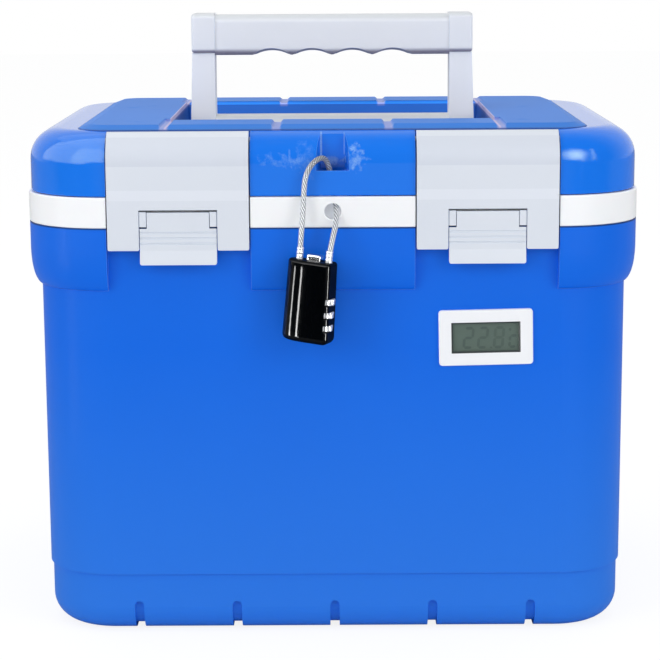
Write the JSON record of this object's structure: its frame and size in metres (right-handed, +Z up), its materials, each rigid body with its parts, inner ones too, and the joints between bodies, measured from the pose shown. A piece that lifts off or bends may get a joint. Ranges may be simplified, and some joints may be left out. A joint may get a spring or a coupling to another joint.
{
  "type": "vaccine carrier",
  "caption": "Portable insulated box with a hinged lid, draw latches, folding handle, panel thermometer and cable lock.",
  "frame": {"origin": "centre of the underside, on the ground", "axes": "+Z up, +X to the right seen from the front, front with the latches towards -Y"},
  "size_m": [0.3106, 0.2539, 0.313],
  "materials": {
    "blue_shell": "satin",
    "blue_lid": "satin",
    "white_liner": "satin",
    "foam": "matte",
    "grey_white_latch": "satin",
    "white_handle": "satin",
    "gasket_rubber": "matte",
    "steel": "satin",
    "bezel_white": "satin",
    "thermo_black": "satin",
    "clear_window": "gloss",
    "lcd_grey": "matte",
    "board_green": "satin",
    "cell_steel": "gloss",
    "black_rubber": "matte",
    "pack_blue": "satin",
    "lock_black": "gloss",
    "lock_chrome": "polished",
    "lock_dials": "satin",
    "cable_coated": "gloss"
  },
  "bodies": {
    "box": {"outer_shell": "blue_shell", "inner_liner": "white_liner", "box_insulation": "foam", "hinge_leaf_box_left": "steel", "hinge_leaf_box_right": "steel", "hinge_pin_left": "steel", "hinge_pin_right": "steel", "hinge_screws_box": "steel", "cold_pack_front": "pack_blue", "cold_pack_back": "pack_blue", "cold_pack_left": "pack_blue", "cold_pack_right": "pack_blue", "thermometer_bezel": "bezel_white", "thermometer_case": "thermo_black", "thermometer_lens": "clear_window", "thermometer_lcd": "lcd_grey", "thermometer_board": "board_green", "thermometer_cells": "cell_steel", "thermometer_probe": "steel", "probe_grommet": "black_rubber"},
    "lid": {"lid_shell": "blue_lid", "handle_tray": "blue_lid", "lid_liner": "white_liner", "lid_insulation": "foam", "lid_gasket": "gasket_rubber", "hinge_leaf_lid_left": "steel", "hinge_leaf_lid_right": "steel", "hinge_screws_lid": "steel", "latch_pin_left": "steel", "latch_pin_right": "steel"},
    "latch_left": {"latch_panel_left": "grey_white_latch", "lever_pin_left": "steel"},
    "latch_right": {"latch_panel_right": "grey_white_latch", "lever_pin_right": "steel"},
    "lever_left": {"latch_lever_left": "grey_white_latch"},
    "lever_right": {"latch_lever_right": "grey_white_latch"},
    "handle": {"handle_grip": "white_handle", "handle_cap_left": "white_handle", "handle_cap_right": "white_handle", "handle_leg_left": "white_handle", "handle_leg_right": "white_handle", "handle_cross_bar": "white_handle", "handle_pins": "steel"},
    "padlock": {"lock_body": "lock_black", "lock_spindle": "steel", "lock_ferrules": "lock_chrome", "lock_cable": "cable_coated"},
    "dial_one": {"dial_1": "lock_dials"},
    "dial_two": {"dial_2": "lock_dials"},
    "dial_three": {"dial_3": "lock_dials"},
    "button": {"release_button": "lock_chrome"}
  },
  "joints": [
    {"name": "lid_hinge", "type": "hinge", "parent": "box", "child": "lid", "pos_m": [0, 0.1148, 0.2252], "axis": [-1, 0, 0], "range_deg": [0, 105]},
    {"name": "handle_fold", "type": "hinge", "parent": "lid", "child": "handle", "pos_m": [0, 0, 0.2494], "axis": [1, 0, 0], "range_deg": [-90, 90]},
    {"name": "latch_left_swing", "type": "hinge", "parent": "lid", "child": "latch_left", "pos_m": [-0.0764, -0.10524, 0.25425], "axis": [-1, 0, 0], "range_deg": [0, 100]},
    {"name": "lever_left_flip", "type": "hinge", "parent": "latch_left", "child": "lever_left", "pos_m": [-0.0764, -0.1126, 0.2154], "axis": [-1, 0, 0], "range_deg": [0, 80]},
    {"name": "latch_right_swing", "type": "hinge", "parent": "lid", "child": "latch_right", "pos_m": [0.0764, -0.10524, 0.25425], "axis": [-1, 0, 0], "range_deg": [0, 100]},
    {"name": "lever_right_flip", "type": "hinge", "parent": "latch_right", "child": "lever_right", "pos_m": [0.0764, -0.1126, 0.2154], "axis": [-1, 0, 0], "range_deg": [0, 80]},
    {"name": "padlock_swing", "type": "hinge", "parent": "box", "child": "padlock", "pos_m": [0, -0.1143, 0.219], "axis": [-1, 0, 0], "range_deg": [0, 45], "deforming": ["lock_cable"]},
    {"name": "dial_one_turn", "type": "hinge", "parent": "padlock", "child": "dial_one", "pos_m": [-0.00482, -0.12738, 0.17699], "axis": [0.0958, 0, 0.9954], "continuous": true},
    {"name": "dial_two_turn", "type": "hinge", "parent": "padlock", "child": "dial_two", "pos_m": [-0.00545, -0.12738, 0.17051], "axis": [0.0958, 0, 0.9954], "continuous": true},
    {"name": "dial_three_turn", "type": "hinge", "parent": "padlock", "child": "dial_three", "pos_m": [-0.00607, -0.12738, 0.16404], "axis": [0.0958, 0, 0.9954], "continuous": true},
    {"name": "release_press", "type": "slide", "parent": "padlock", "child": "button", "axis": [-0.0958, 0, -0.9954], "range_m": [0, 0.0015], "stiffness_N_per_m": 300}
  ]
}
